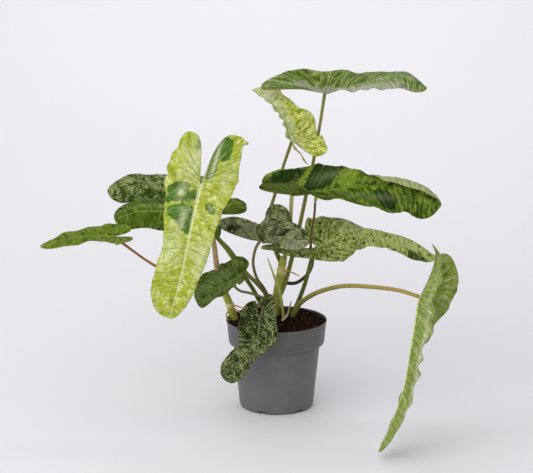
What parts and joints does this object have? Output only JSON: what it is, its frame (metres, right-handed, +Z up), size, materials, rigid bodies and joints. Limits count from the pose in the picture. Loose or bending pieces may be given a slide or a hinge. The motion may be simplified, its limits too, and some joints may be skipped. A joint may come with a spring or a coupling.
{
  "type": "potted variegated arrow-leaf philodendron",
  "caption": "Climbing house plant in a round grower's pot: long arrow-shaped leaves with green and yellow-green marbling on slender stalks, held level, hanging and folded.",
  "frame": {"origin": "centre of the pot's foot, on the surface that the pot stands on", "axes": "+Z up along the pot's axis, +X to the right in the picture, +Y away from the viewer; the drooping leaf is at +X and -Y"},
  "size_m": [0.6735, 0.4615, 0.5567],
  "materials": {
    "pot": "satin",
    "potting_mix": "rough",
    "stem": "waxy",
    "crown": "waxy",
    "leaf_pale": "waxy",
    "leaf_green": "waxy",
    "leaf_mottled": "waxy",
    "leaf_dark": "waxy",
    "stalk_olive": "waxy",
    "stalk_green": "waxy",
    "stalk_brown": "waxy",
    "stalk_pale": "waxy",
    "sheath": "waxy",
    "dry_sheath": "matt"
  },
  "bodies": {
    "root": {"pot": "pot", "soil": "potting_mix", "stem_left": "stem", "stem_middle": "stem", "crown": "crown", "leaf_01_blade": "leaf_green", "leaf_01_stalk": "stalk_green", "leaf_02_blade": "leaf_pale", "leaf_02_stalk": "stalk_olive", "leaf_03_blade": "leaf_green", "leaf_03_stalk": "sheath", "leaf_04_blade": "leaf_pale", "leaf_04_stalk": "stalk_pale", "leaf_05_blade": "leaf_green", "leaf_05_stalk": "stalk_green", "leaf_06_blade": "leaf_dark", "leaf_06_stalk": "stalk_olive", "leaf_07_blade": "leaf_green", "leaf_07_stalk": "stalk_brown", "leaf_08_blade": "leaf_dark", "leaf_08_stalk": "stalk_green", "leaf_09_blade": "leaf_mottled", "leaf_09_stalk": "stalk_brown", "leaf_10_blade": "leaf_mottled", "leaf_10_stalk": "stalk_green", "leaf_11_blade": "leaf_green", "leaf_11_stalk": "stalk_olive", "leaf_12_blade": "leaf_dark", "leaf_12_stalk": "stalk_olive", "leaf_13_blade": "leaf_dark", "leaf_13_stalk": "stalk_olive", "young_leaf_stalk": "stalk_brown", "young_leaf": "leaf_pale", "new_sheath": "sheath", "curled_sheath": "sheath", "dry_sheath": "dry_sheath"}
  },
  "joints": []
}
